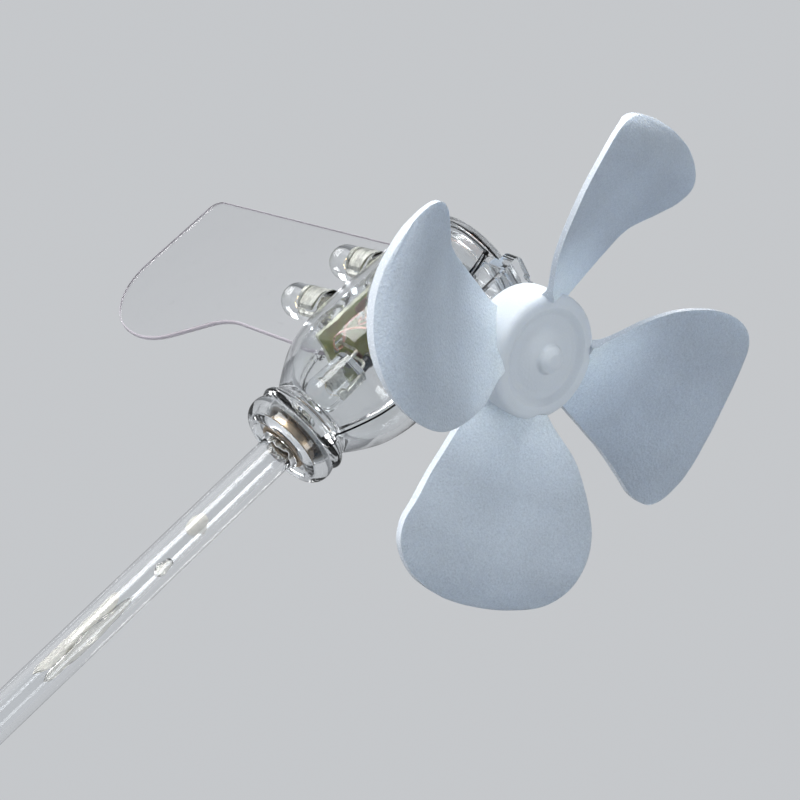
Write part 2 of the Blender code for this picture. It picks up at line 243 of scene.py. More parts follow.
def prism_bm(outline, lo, hi, axis="X", bm=None, centre=(0, 0, 0), matrix=None):
    bm = bm or bmesh.new()
    c = Vector(centre)

    def p(u, v, t):
        q = {"X": (t, u, v), "Y": (u, t, v), "Z": (u, v, t)}[axis]
        q = Vector(q)
        if matrix:
            q = matrix @ q
        return at(*(q + c))
    a = [bm.verts.new(p(u, v, lo)) for u, v in outline]
    b = [bm.verts.new(p(u, v, hi)) for u, v in outline]
    n = len(outline)
    bm.faces.new(a)
    bm.faces.new(list(reversed(b)))
    for i in range(n):
        j = (i + 1) % n
        bm.faces.new((a[i], a[j], b[j], b[i]))
    return bm


def rect(u0, u1, v0, v1):
    return [(u0, v0), (u1, v0), (u1, v1), (u0, v1)]


def catmull(pts, per=6):
    out = []
    n = len(pts)
    for i in range(n - 1):
        p0, p1, p2, p3 = pts[max(i - 1, 0)], pts[i], pts[i + 1], pts[min(i + 2, n - 1)]
        for s in range(per):
            f = s / per
            out.append(tuple(0.5 * (2 * b + (c - a) * f + (2 * a - 5 * b + 4 * c - d) * f * f
                                    + (3 * b - a - 3 * c + d) * f ** 3) for a, b, c, d in zip(p0, p1, p2, p3)))
    out.append(tuple(pts[-1]))
    return out


def sweep_bm(path, radius, seg=10, bm=None, square=False):
    """Round or square wire along a list of mm points, closed at both ends."""
    bm = bm or bmesh.new()
    pts = [Vector(p) for p in path]
    n = len(pts)
    up = Vector((0.3, 0.2, 1)).normalized()
    rings = []
    for i, p in enumerate(pts):
        t = (pts[min(i + 1, n - 1)] - pts[max(i - 1, 0)]).normalized()
        u = (up - t * up.dot(t))
        if u.length < 1e-3:
            u = Vector((1, 0, 0)) - t * t.x
        u.normalize()
        up = u
        v = t.cross(u)
        r = radius(i / (n - 1)) if callable(radius) else radius
        ring = []
        for k in range(seg):
            a = 2 * math.pi * (k + 0.5) / seg
            s = r
            if square:
                s = r / max(abs(math.cos(a)), abs(math.sin(a)))
            ring.append(bm.verts.new(at(*(p + u * (s * math.cos(a)) + v * (s * math.sin(a))))))
        rings.append(ring)
    for i in range(n - 1):
        for k in range(seg):
            j = (k + 1) % seg
            bm.faces.new((rings[i][k], rings[i][j], rings[i + 1][j], rings[i + 1][k]))
    bm.faces.new(list(reversed(rings[0])))
    bm.faces.new(rings[-1])
    return bm


# ------------------------------------------------------------------ materials
def mat(name, **inputs):
    m = bpy.data.materials.new(name)
    m.use_nodes = True
    b = m.node_tree.nodes["Principled BSDF"]
    for k, v in inputs.items():
        key = k.replace("_", " ")
        if isinstance(v, tuple) and len(v) == 3:
            v = (*v, 1)
        b.inputs[key].default_value = v
    return m, m.node_tree, b


def coords(nt, scale=(1, 1, 1)):
    tc = nt.nodes.new("ShaderNodeTexCoord")
    mp = nt.nodes.new("ShaderNodeMapping")
    mp.inputs["Scale"].default_value = scale
    nt.links.new(tc.outputs["Object"], mp.inputs["Vector"])
    return mp.outputs["Vector"]


def noise(nt, vec, scale, detail=4, rough=0.55):
    n = nt.nodes.new("ShaderNodeTexNoise")
    n.inputs["Scale"].default_value = scale
    n.inputs["Detail"].default_value = detail
    n.inputs["Roughness"].default_value = rough
    nt.links.new(vec, n.inputs["Vector"])
    return n.outputs["Fac"]


def ramp(nt, fac, stops):
    r = nt.nodes.new("ShaderNodeValToRGB")
    e = r.color_ramp.elements
    while len(e) < len(stops):
        e.new(0.5)
    for i, (p, c) in enumerate(stops):
        e[i].position = p
        e[i].color = (*c, 1) if len(c) == 3 else c
    nt.links.new(fac, r.inputs["Fac"])
    return r.outputs["Color"]


def remap(nt, fac, a, b, lo, hi):
    r = nt.nodes.new("ShaderNodeMapRange")
    for k, v in (("From Min", a), ("From Max", b), ("To Min", lo), ("To Max", hi)):
        r.inputs[k].default_value = v
    nt.links.new(fac, r.inputs["Value"])
    return r.outputs["Result"]


def bump(nt, b, height, strength, distance):
    n = nt.nodes.new("ShaderNodeBump")
    n.inputs["Strength"].default_value = strength
    n.inputs["Distance"].default_value = distance
    nt.links.new(height, n.inputs["Height"])
    nt.links.new(n.outputs["Normal"], b.inputs["Normal"])


def clear_plastic(name, tint=(0.905, 0.92, 0.93), wave=0.25, scratch=0.5, ior=1.49):
    """Water-white moulded styrene: flow waves in the skin, hairline scratches and dust in the gloss."""
    m, nt, b = mat(name, Base_Color=tint, IOR=ior, Transmission_Weight=1.0, Specular_IOR_Level=0.55)
    v = coords(nt)
    flow = noise(nt, v, 160, 2, 0.4)
    fine = noise(nt, v, 2600, 3, 0.6)
    dust = noise(nt, v, 900, 6, 0.7)
    lines = nt.nodes.new("ShaderNodeTexNoise")
    lines.inputs["Scale"].default_value = 500
    lines.inputs["Detail"].default_value = 2
    vv = coords(nt, (1, 9, 0.35))
    nt.links.new(vv, lines.inputs["Vector"])
    nt.links.new(ramp(nt, dust, [(0.0, tint), (0.62, tint), (0.80, tuple(0.80 * c for c in tint))]), b.inputs["Base Color"])
    nt.links.new(remap(nt, dust, 0.45, 0.85, 0.012, 0.11), b.inputs["Roughness"])
    mix = nt.nodes.new("ShaderNodeMath")
    mix.operation = "MULTIPLY_ADD"
    nt.links.new(fine, mix.inputs[0])
    mix.inputs[1].default_value = 0.04 * scratch
    nt.links.new(flow, mix.inputs[2])
    add = nt.nodes.new("ShaderNodeMath")
    add.operation = "MULTIPLY_ADD"
    nt.links.new(lines.outputs["Fac"], add.inputs[0])
    add.inputs[1].default_value = 0.06 * scratch
    nt.links.new(mix.outputs[0], add.inputs[2])
    bump(nt, b, add.outputs[0], wave, 0.0004)
    return m


def frosted(name, tint, edge=False, cloud_depth=0.10, near_hub=1.30, transmission=0.34, grit=1.0):
    """Natural polypropylene: spark-eroded grain on the faces, faint flow marks, lighter towards the hub."""
    m, nt, b = mat(name, IOR=1.46, Specular_IOR_Level=0.35)
    v = coords(nt)
    grain = noise(nt, v, 4600, 2, 0.6)
    speck = nt.nodes.new("ShaderNodeTexVoronoi")
    speck.inputs["Scale"].default_value = 2500
    nt.links.new(v, speck.inputs["Vector"])
    # edge variant: a lighter, less transmissive tint for the blade rims, painted glow of light leaving the cut edges
    if edge:
        b.inputs["Transmission Weight"].default_value = 0.12
        b.inputs["Subsurface Weight"].default_value = 0.4
        b.inputs["Subsurface Radius"].default_value = (0.002, 0.002, 0.002)
        nt.links.new(ramp(nt, grain, [(0.30, tuple(0.95 * c for c in tint)), (0.6, tint), (0.9, tuple(1.12 * c for c in tint))]), b.inputs["Base Color"])
        nt.links.new(remap(nt, grain, 0.3, 0.7, 0.18, 0.30), b.inputs["Roughness"])
        bump(nt, b, grain, 0.05, 0.0001)
        return m
    cloud = noise(nt, v, 95, 5, 0.5)
    # distance from the propeller axis, in metres
    off = nt.nodes.new("ShaderNodeVectorMath")
    off.operation = "SUBTRACT"
    off.inputs[1].default_value = (0, 0, H)
    nt.links.new(v, off.inputs[0])
    flat = nt.nodes.new("ShaderNodeVectorMath")
    flat.operation = "MULTIPLY"
    flat.inputs[1].default_value = (1, 0, 1)
    nt.links.new(off.outputs[0], flat.inputs[0])
    rad = nt.nodes.new("ShaderNodeVectorMath")
    rad.operation = "LENGTH"
    nt.links.new(flat.outputs[0], rad.inputs[0])
    # tone by distance from the axis: lighter towards the hub, a little darker about four fifths out, slightly lighter
    # at the tip
    radial_tone = ramp(nt, remap(nt, rad.outputs["Value"], 0.007, 0.033, 0.0, 1.0),
                 [(0.0, tuple(min(1.0, near_hub * c) for c in tint)), (0.16, tuple(min(1.0, (0.35 + 0.65 * near_hub) * c) for c in tint)),
                  (0.42, tint), (0.80, tuple(0.93 * c for c in tint)), (1.0, tuple(1.04 * c for c in tint))])
    g = ramp(nt, grain, [(0.25, (1 - 0.20 * grit, 1 - 0.19 * grit, 1 - 0.18 * grit)), (0.50, (0.98, 0.98, 0.98)), (0.75, (1 + 0.12 * grit, 1 + 0.12 * grit, 1 + 0.11 * grit))])
    c1 = ramp(nt, cloud, [(0.25, (1 - cloud_depth,) * 3), (0.55, (1, 1, 1)), (0.8, (1 + cloud_depth,) * 3)])
    one = nt.nodes.new("ShaderNodeVectorMath")
    one.operation = "MULTIPLY"
    nt.links.new(radial_tone, one.inputs[0])
    nt.links.new(g, one.inputs[1])
    two = nt.nodes.new("ShaderNodeVectorMath")
    two.operation = "MULTIPLY"
    nt.links.new(one.outputs[0], two.inputs[0])
    nt.links.new(c1, two.inputs[1])
    nt.links.new(two.outputs[0], b.inputs["Base Color"])
    b.inputs["Subsurface Weight"].default_value = 0.30
    b.inputs["Subsurface Radius"].default_value = (0.0014, 0.0016, 0.0020)
    b.inputs["Subsurface Scale"].default_value = 1.0
    b.inputs["Transmission Weight"].default_value = transmission
    nt.links.new(remap(nt, grain, 0.3, 0.7, 0.48, 0.34), b.inputs["Roughness"])
    h = nt.nodes.new("ShaderNodeMath")
    h.operation = "ADD"
    nt.links.new(grain, h.inputs[0])
    nt.links.new(speck.outputs["Distance"], h.inputs[1])
    bump(nt, b, h.outputs[0], 0.15 + 0.5 * grit, 0.00012)
    return m


def metal(name, colour, rough, grain=600, stretch=(1, 1, 1), dark=0.75, bump_s=0.15):
    m, nt, b = mat(name, Base_Color=colour, Metallic=1.0)
    v = coords(nt, stretch)
    g = noise(nt, v, grain, 5, 0.65)
    nt.links.new(ramp(nt, g, [(0.30, tuple(dark * c for c in colour)), (0.55, colour),
                              (0.78, tuple(min(1, 1.12 * c) for c in colour))]), b.inputs["Base Color"])
    nt.links.new(remap(nt, g, 0.3, 0.7, rough * 0.7, rough * 1.35), b.inputs["Roughness"])
    bump(nt, b, g, bump_s, 0.00008)
    return m


def opaque(name, colour, rough, grain=900, dark=0.82, bump_s=0.2, spec=0.4):
    m, nt, b = mat(name, Base_Color=colour, Specular_IOR_Level=spec)
    v = coords(nt)
    g = noise(nt, v, grain, 5, 0.6)
    nt.links.new(ramp(nt, g, [(0.30, tuple(dark * c for c in colour)), (0.58, colour),
                              (0.80, tuple(min(1, 1.10 * c) for c in colour))]), b.inputs["Base Color"])
    nt.links.new(remap(nt, g, 0.3, 0.7, rough * 0.85, rough * 1.15), b.inputs["Roughness"])
    bump(nt, b, g, bump_s, 0.00008)
    return m


M_CLEAR = clear_plastic("clear_styrene")
M_TUBE = clear_plastic("clear_acrylic_tube", tint=(0.94, 0.95, 0.96), wave=0.08, scratch=0.3)
M_SHEET = clear_plastic("clear_sheet", tint=(0.925, 0.928, 0.938), wave=0.05, scratch=0.4)
# fin's cut edges: a darker mauve tint with low transmission, painted edge shade that draws the fin's outline
M_CUT_EDGE_SHADE = clear_plastic("cut_edge_painted_shade", tint=(0.66, 0.61, 0.67), wave=0.1, scratch=0.2)
M_CUT_EDGE_SHADE.node_tree.nodes["Principled BSDF"].inputs["Transmission Weight"].default_value = 0.30
M_LENS = clear_plastic("lamp_epoxy", tint=(0.90, 0.915, 0.92), wave=0.05, scratch=0.2, ior=1.56)
M_FROST = frosted("frosted_polypropylene", (0.50, 0.563, 0.635), near_hub=1.62)
# blade rim tint: painted glow of light leaving the edges
M_PAINTED_EDGE_GLOW = frosted("painted_edge_glow", (0.64, 0.69, 0.75), edge=True)
M_HUB = frosted("frosted_hub", (0.585, 0.635, 0.685), cloud_depth=0.02, near_hub=1.05, transmission=0.18, grit=0.12)
M_BUSH = metal("sintered_bronze", (0.33, 0.25, 0.17), 0.38, 1500)
M_STEEL = metal("plated_steel", (0.62, 0.62, 0.61), 0.28, 700)
M_SHAFT = metal("ground_steel", (0.70, 0.70, 0.70), 0.18, 900, (1, 12, 1))
M_BRASS = metal("turned_brass", (0.78, 0.60, 0.30), 0.25, 900)
M_TIN = metal("tinned_lead", (0.74, 0.74, 0.68), 0.36, 1500, dark=0.45, bump_s=0.7)
M_GOLD = metal("bond_wire", (0.90, 0.70, 0.35), 0.2, 900)
M_CREAM = opaque("cream_nylon", (0.80, 0.68, 0.56), 0.45)
M_FERRITE = opaque("ferrite", (0.07, 0.07, 0.075), 0.5, 1300, bump_s=0.4)
M_BLACK = opaque("moulded_epoxy", (0.035, 0.035, 0.038), 0.35, 1800)
M_BAND = opaque("diode_band", (0.62, 0.62, 0.60), 0.4, 1500)
M_GLUE = clear_plastic("glue", tint=(0.90, 0.88, 0.82), wave=0.6, scratch=1.0)
M_MILK = opaque("milky_residue", (0.80, 0.78, 0.72), 0.5, 1200)
M_CHIP = opaque("led_chip", (0.70, 0.66, 0.20), 0.3, 2500)
M_SOLDER = metal("solder", (0.50, 0.51, 0.52), 0.40, 800)
M_FOIL = metal("copper_foil", (0.82, 0.50, 0.38), 0.35, 900)


def winding():
    m, nt, b = mat("enamelled_wire", Metallic=0.55, Coat_Weight=0.5, Coat_Roughness=0.15)
    v = coords(nt)
    sep = nt.nodes.new("ShaderNodeSeparateXYZ")
    nt.links.new(v, sep.inputs[0])
    g = noise(nt, v, 420, 4, 0.6)
    nt.links.new(ramp(nt, g, [(0.3, (0.62, 0.30, 0.20)), (0.55, (0.82, 0.45, 0.32)), (0.8, (0.93, 0.60, 0.46))]), b.inputs["Base Color"])
    nt.links.new(remap(nt, g, 0.3, 0.7, 0.22, 0.42), b.inputs["Roughness"])
    bump(nt, b, g, 0.1, 0.00005)
    return m


def laminate():
    """Olive green board: glass weave under the mask and brown flux stains; its pale cut edge is the separate
    board_edge material.
    """
    m, nt, b = mat("green_laminate", Coat_Weight=0.35, Coat_Roughness=0.2, Specular_IOR_Level=0.5)
    v = coords(nt)
    weave_a = nt.nodes.new("ShaderNodeTexWave")
    weave_a.inputs["Scale"].default_value = 900
    weave_a.bands_direction = "X"
    nt.links.new(v, weave_a.inputs["Vector"])
    weave_b = nt.nodes.new("ShaderNodeTexWave")
    weave_b.inputs["Scale"].default_value = 900
    weave_b.bands_direction = "Z"
    nt.links.new(v, weave_b.inputs["Vector"])
    w = nt.nodes.new("ShaderNodeMath")
    w.operation = "MULTIPLY"
    nt.links.new(weave_a.outputs["Fac"], w.inputs[0])
    nt.links.new(weave_b.outputs["Fac"], w.inputs[1])
    stain = noise(nt, v, 230, 4, 0.6)
    base = ramp(nt, stain, [(0.28, (0.23, 0.15, 0.05)), (0.42, (0.30, 0.30, 0.08)), (0.60, (0.36, 0.42, 0.15)), (0.8, (0.46, 0.50, 0.24))])
    nt.links.new(base, b.inputs["Base Color"])
    nt.links.new(remap(nt, stain, 0.3, 0.7, 0.30, 0.48), b.inputs["Roughness"])
    bump(nt, b, w.outputs[0], 0.12, 0.00006)
    return m


M_WIRE = winding()
M_BOARD = laminate()
M_BOARD_EDGE = opaque("board_edge", (0.74, 0.76, 0.60), 0.6, 1400)


# ------------------------------------------------------------------ wand
TUBE_R, BORE_R = 2.5, 1.5
lo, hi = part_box("stake_tube")
z0, z1 = (lo.z - H) / MM, (hi.z - H) / MM
lathe("wand_tube", [(BORE_R, z0, 0.1), (TUBE_R, z0, 0.25), (TUBE_R, z1, 0.35), (BORE_R, z1, 0.1)],
      "wand", M_TUBE, 96, replaces=["stake_tube"])
lo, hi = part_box("stake_foot_plug")
p0 = (lo.z - H) / MM
lathe("wand_foot_plug", [(0, p0), (TUBE_R, p0, 0.4), (TUBE_R, p0 + 2.0, 0.15), (BORE_R - 0.3, p0 + 2.0, 0.1),
                         (BORE_R - 0.3, p0 + 8.2, 0.5), (0, p0 + 8.6)], "wand", M_CLEAR, 72,
      replaces=["stake_foot_plug"])


def blob(name, zc, half, r0, side, mats, seed, bulge=0.0, taper=5):
    """Residue lying along one side of the tube's bore, half-pipe in section with ragged ends."""
    rnd = random.Random(seed)
    rows, cols = 28, 12
    bm = bmesh.new()
    a_mid = math.radians(side)
    phases = [rnd.uniform(0, 6.28) for _ in range(6)]
    outer, inner = [], []
    for i in range(rows + 1):
        t = -1 + 2 * i / rows
        w = max(0.0, 1 - abs(t) ** taper) ** 0.5
        w *= 1 + 0.16 * math.sin(5 * t + phases[0]) + 0.07 * math.sin(13 * t + phases[1])
        w = max(w, 0.03)
        o, n = [], []
        for j in range(cols + 1):
            s = -1 + 2 * j / cols
            a = a_mid + s * w * r0
            z = zc + t * half + 0.10 * half * 0.3 * math.sin(3 * s + phases[2]) * abs(t) ** 3
            thick = (0.34 + bulge) * math.sqrt(max(0.0, 1 - s * s * 0.96)) * min(1, w * 1.3) + 0.02
            ro = BORE_R - 0.03
            o.append(bm.verts.new(at(ro * math.cos(a), ro * math.sin(a), z)))
            ri = ro - thick
            n.append(bm.verts.new(at(ri * math.cos(a), ri * math.sin(a), z)))
        outer.append(o)
        inner.append(n)
    for i in range(rows):
        for j in range(cols):
            bm.faces.new((outer[i][j], outer[i][j + 1], outer[i + 1][j + 1], outer[i + 1][j]))
            bm.faces.new((inner[i][j], inner[i + 1][j], inner[i + 1][j + 1], inner[i][j + 1]))
        for j in (0, cols):
            bm.faces.new((outer[i][j], outer[i + 1][j], inner[i + 1][j], inner[i][j]))
    for i in (0, rows):
        for j in range(cols):
            bm.faces.new((outer[i][j], inner[i][j], inner[i][j + 1], outer[i][j + 1]))
    return finish_mesh(name, bm, "wand", mats, angle=70)


CAM_AZ = math.degrees(math.atan2(CAM_POS.y, CAM_POS.x))      # side of the bore that faces the lens
blob("glue_drop_in_bore", -43.6, 1.7, 0.80, CAM_AZ - 14, M_MILK, 3, 0.30, 2)
blob("glue_run_in_bore", -64.3, 7.2, 0.60, CAM_AZ - 38, M_MILK, 5, 0.0, 8)
blob("glue_film_in_bore", -63.6, 7.6, 0.55, CAM_AZ + 22, M_GLUE, 8, 0.15, 3)
blob("bubble_in_bore", -50.6, 1.5, 0.50, CAM_AZ + 24, M_GLUE, 11, 0.1, 2)

lathe("pivot_bush_sleeve", [(2.8, -28.0, 0.15), (3.5, -28.0, 0.15), (3.5, -26.85, 0.1), (4.6, -26.85, 0.2), (4.6, -26.05, 0.2),
                            (3.5, -26.05, 0.1), (3.5, -24.4, 0.15), (2.8, -24.4, 0.15)], "wand", M_BUSH, 72,
      replaces=["pivot_bush"])


def glue_wave(r, h, a):
    w = 0.22 * math.sin(3 * a + 0.6) + 0.14 * math.sin(7 * a + 2.0) + 0.08 * math.sin(13 * a)
    return r + (0.05 * math.sin(5 * a) if r > 2.52 else 0), h + w * (1 if h < -28.3 else 0.1)


lathe("glue_bead_under_bush", [(2.52, -29.0, 0.1), (2.75, -28.9, 0.2), (3.0, -28.3, 0.2), (2.95, -28.05, 0.1), (2.52, -28.05)],
      "wand", M_GLUE, 72, wobble=glue_wave)

# ------------------------------------------------------------------ swivel, collar
lathe("thrust_washer_ring", [(3.8, -25.75, 0.08), (4.9, -25.75, 0.08), (4.9, -25.35, 0.08), (3.8, -25.35, 0.08)],
      "head", M_STEEL, 72, replaces=["thrust_washer"])
bead = [(4.95 + 1.92 * math.cos(math.radians(a)), -26.3 + 2.2 * math.sin(math.radians(a))) for a in range(-84, 25, 6)]
lathe("neck_collar_ring", [(3.9, -27.5, 0.25), (4.3, -28.15, 0.25), (4.7, -28.43, 0.2)] + bead
      + [(6.68, -25.35, 0.12), (5.2, -25.35, 0.12), (5.2, -27.15, 0.15), (3.9, -27.15, 0.1)], "head", M_CLEAR, 144,
      replaces=["neck_collar"], angle=35)

# ------------------------------------------------------------------ housing shells
OUTER = catmull([(5.9, -25.05), (6.5, -24.85), (6.88, -24.2), (6.6, -23.5), (6.0, -23.1), (6.05, -22.4), (7.1, -20.8),
                 (8.25, -18.8), (8.98, -17.2), (9.47, -15.5), (9.87, -13.3), (10.02, -10.8), (9.95, -7.5),
                 (9.8, -3.5), (9.6, 0.5), (9.3, 4.0), (8.85, 6.8), (8.3, 8.7)], 4)
INNER = catmull([(7.35, 8.7), (7.85, 6.8), (8.3, 4.0), (8.6, 0.5), (8.8, -3.5), (8.95, -7.5),
                 (9.05, -10.8), (8.95, -13.2), (8.5, -15.5), (7.9, -17.2), (7.1, -18.8), (5.9, -20.4),
                 (4.7, -21.6), (3.95, -22.2), (3.95, -25.05)], 4)


def shell(name, sign, node):
    """Half of the egg with its seam bead along x = 0."""
    ring = OUTER + INNER
    n_out = len(OUTER)
    cols = 56
    bm = bmesh.new()
    grid = []
    for k, (r, h) in enumerate(ring):
        row = []
        xs = 0.15
        a0 = math.asin(xs / r)
        a1 = math.asin(0.55 / r)
        a2 = math.asin(0.80 / r)
        turn = [a0, a1, a2] + [a2 + (math.pi / 2 - a2) * q / (cols // 2) for q in range(1, cols // 2)]
        angles = turn + [math.pi / 2] + [math.pi - q for q in reversed(turn)]
        for i, a in enumerate(angles):
            rr = r
            if k < n_out and h > -22.6 and k < n_out - 1 and (i < 2 or i > len(angles) - 3):
                rr = r + 0.28
            # a is measured from +Y towards the side of the shell
            row.append(bm.verts.new(at(sign * rr * math.sin(a), rr * math.cos(a), h)))
        grid.append(row)
    n, m = len(grid), len(grid[0])
    for k in range(n):
        a, b = grid[k], grid[(k + 1) % n]
        for i in range(m - 1):
            bm.faces.new((a[i], a[i + 1], b[i + 1], b[i]))
    # the two seam faces: bands between the outer and inner lines
    inner_rev = list(range(n - 1, n_out - 1, -1))
    for i in (0, m - 1):
        o = [grid[k][i] for k in range(n_out)]
        inn = [grid[k][i] for k in inner_rev]
        p, q = 0, 0
        while p < len(o) - 1 or q < len(inn) - 1:
            if q == len(inn) - 1 or (p < len(o) - 1 and o[p + 1].co.z <= inn[q + 1].co.z):
                bm.faces.new((o[p], o[p + 1], inn[q]))
                p += 1
            else:
                bm.faces.new((o[p], inn[q + 1], inn[q]))
                q += 1
    ob = finish_mesh(name, bm, None, M_CLEAR)
    slot = 0.8
    cut = [plain(prism_bm(rounded([(-4.9, -7.8, 0.8), (4.9, -7.8, 0.8), (4.9, 14, 0), (-4.9, 14, 0)]), -30, -4, "Y")),
           plain(prism_bm(rect(-slot, slot, -13.6, 14), 6.6, 30, "Y"))]
    if sign < 0:
        for xx, zz in ((-4.6, 0.06), (-5.4, -8.94)):
            b2 = lathe_bm([(0, -20), (2.75, -20), (2.75, 2), (0, 2)], 64, "Y", (0, 0, 0))
            bmesh.ops.transform(b2, matrix=Matrix.Translation(at(xx, 7.56, zz)) @ Matrix.Rotation(math.radians(-8.0), 4, "X")
                                @ Matrix.Translation(-AXIS), verts=b2.verts)
            cut.append(plain(b2))
    boolean(ob, cut)
    ob.data.shade_smooth()
    ob.data.set_sharp_from_angle(angle=math.radians(38))
    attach(ob, "head")
    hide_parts(node)
    return ob


shell("housing_shell_left", -1, "housing_left")
shell("housing_shell_right", 1, "housing_right")

lathe("housing_top_lid", [(0, 9.0), (5.6, 9.0, 0.2), (5.6, 7.6, 0.2), (6.4, 7.6, 0.25), (6.6, 9.0, 0.2), (8.1, 9.0, 0.25),
                          (8.1, 10.0, 0.25), (0, 10.0)], "head", M_CLEAR, 128, replaces=["top_cap"])

# bearing housing: a rounded box cup with the lug above and the neck in front
W = 4.6
body_bm = prism_bm(rounded([(-W, -7.5, 1.2), (W, -7.5, 1.2), (W, 8.6, 0.3), (-W, 8.6, 0.3)], 5), -11.0, -6.8, "Y")
snout = finish_mesh("bearing_housing", body_bm, None, M_CLEAR, smooth=False)
lug = plain(prism_bm(rounded([(-W, 6.0), (W, 6.0), (W, 10.3, 0.9), (0.35, 10.3, 0.1), (0.2, 10.05, 0.05), (-0.5, 10.05, 0.05), (-0.7, 10.3, 0.1), (-W, 10.3, 0.9)], 5), -11.0, -8.8, "Y"))
neck = plain(lathe_bm(rounded([(0, 10.5), (3.9, 10.5, 0), (3.9, 11.2, 0.3), (3.3, 11.9, 0.4), (3.3, 16.6, 0.4), (0, 16.6)], 4), 72, "Y"))
boolean(snout, [lug, neck], "UNION")
inside = plain(prism_bm(rounded([(-W + 0.9, -6.6, 0.6), (W - 0.9, -6.6, 0.6), (W - 0.9, 7.7, 0.4), (-W + 0.9, 7.7, 0.4)], 4), -10.1, 0, "Y"))
bore = plain(lathe_bm([(0, -2), (2.5, -2), (2.5, 30), (0, 30)], 64, "Y"))
boolean(snout, [inside, bore])
bv = snout.modifiers.new("bevel", "BEVEL")
bv.width = 0.12 * MM
bv.segments = 2
bv.limit_method = "ANGLE"
bv.angle_limit = math.radians(50)
bake(snout)
snout.data.shade_smooth()
snout.data.set_sharp_from_angle(angle=math.radians(40))
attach(snout, "head")
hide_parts("bearing_snout")

# ------------------------------------------------------------------ tail fin
FIN = [(7.2, 8.4, 0), (53.95, 3.45, 2.1), (53.95, -23.0, 11.3), (38.5, -23.0, 9.5), (29.2, -14.35, 8.0), (7.2, -12.95, 0)]
fin = finish_mesh("tail_fin_sheet", prism_bm(rounded(FIN, 20), -0.4, 0.4, "X"), "head", M_SHEET,
                  replaces=["tail_fin"], bevel=0.33, bevel_seg=4, angle=30, mats=[M_CUT_EDGE_SHADE])
# edge faces take slot 1, the painted edge shade tint
for p in fin.data.polygons:
    if abs(p.normal.x) < 0.98:
        p.material_index = 1


# ------------------------------------------------------------------ lamps
def lamp(tag, place, legs):
    """Solid epoxy lens with its two lead frames cast in. h runs from the base to the dome tip."""
    r, length = 2.5, 8.7
    body = length - r
    prof = [(0, 0), (r - 0.12, 0), (r, 0.12)] + [(r, body * q / 5) for q in range(1, 6)] \
        + [(r * math.cos(math.radians(a)), body + r * math.sin(math.radians(a))) for a in range(6, 90, 6)] + [(0, length)]
    bm = lathe_bm(prof, 72)
    bmesh.ops.transform(bm, matrix=place @ Matrix.Translation(-AXIS), verts=bm.verts)
    finish_mesh("lamp_%s_lens" % tag, bm, "head", M_LENS, replaces=["led_%s_lens" % tag])
    to_mm = Matrix.Scale(1 / MM, 4) @ Matrix.Translation(-AXIS) @ place @ Matrix.Scale(MM, 4)

    def local(pts):
        return [tuple(to_mm @ Vector(p)) for p in pts]
    t = 0.25
    cat = rounded([(-1.62, 1.1, 0.1), (-1.02, 1.1, 0.1), (-0.9, 1.7, 0.3), (0.45, 2.2, 0.3), (0.45, 4.35, 0.15), (0.15, 4.6, 0.1),
                   (-1.35, 4.6, 0.25), (-1.75, 4.0, 0.3), (-1.75, 1.6, 0.1)], 4)
    ano = rounded([(1.02, 1.1, 0.1), (1.52, 1.1, 0.1), (1.75, 1.6, 0.2), (1.75, 3.9, 0.35), (1.35, 4.55, 0.2), (0.85, 4.55, 0.15),
                   (0.85, 3.4, 0.2), (1.15, 2.8, 0.2)], 4)
    for nm, outline, leg in (("cathode", cat, -1.27), ("anode", ano, 1.27)):
        bm = bmesh.new()
        base = prism_bm(outline, -t, t, "Y", bm)
        if nm == "cathode":
            lathe_bm(rounded([(0, 4.5), (0.75, 4.5, 0.1), (1.0, 5.05, 0.05), (0.86, 5.05, 0.05), (0.5, 4.72, 0.1), (0, 4.68)], 3),
                     40, "Z", (-0.6, 0, 0), bm)
        bmesh.ops.transform(base, matrix=place @ Matrix.Translation(-AXIS), verts=base.verts)
        sweep_bm(catmull(local(legs(leg)), 6), 0.25, 8, base, square=True)
        finish_mesh("lamp_%s_%s" % (tag, nm), base, "head", M_TIN, smooth=False, bevel=0.05, bevel_seg=1,
                    replaces=["led_%s_%s" % (tag, nm)])
    bm = prism_bm(rounded(rect(-0.82, -0.38, -0.22, 0.22), 2), 4.66, 4.82, "Z")
    bmesh.ops.transform(bm, matrix=place @ Matrix.Translation(-AXIS), verts=bm.verts)
    finish_mesh("lamp_%s_chip" % tag, bm, "head", M_CHIP, smooth=False)
    bond = catmull(local([(-0.6, 0, 4.82), (-0.35, 0.05, 5.35), (0.35, 0.1, 5.45), (1.05, 0.05, 4.58)]), 8)
    finish_mesh("lamp_%s_bond_wire" % tag, sweep_bm(bond, 0.03, 6), "head", M_GOLD)


down = Matrix.Translation(at(-1.0, 0.8, -13.3)) @ Matrix.Rotation(math.pi, 4, "X")
lamp("down", down, lambda u: [(u, 0, 1.3), (u, 0, 0.2), (u, 0, -1.1), (u * 0.9, -0.5, -1.75), (u * 0.8, -2.2, -1.9), (u * 0.8, -4.5, -1.95)])
rear = Matrix.Rotation(math.radians(-8.0), 4, "X") @ Matrix.Rotation(-math.pi / 2, 4, "X") @ Matrix.Rotation(math.pi / 2, 4, "Z")
for tag, xx, zz in (("rear_upper", -4.6, 0.06), ("rear_lower", -5.4, -8.94)):
    lamp(tag, Matrix.Translation(at(xx, 7.56, zz)) @ rear, lambda u: [(u, 0, 1.3), (u, 0, 0.4), (u, 0, -0.2), (u, 0, -0.62)])

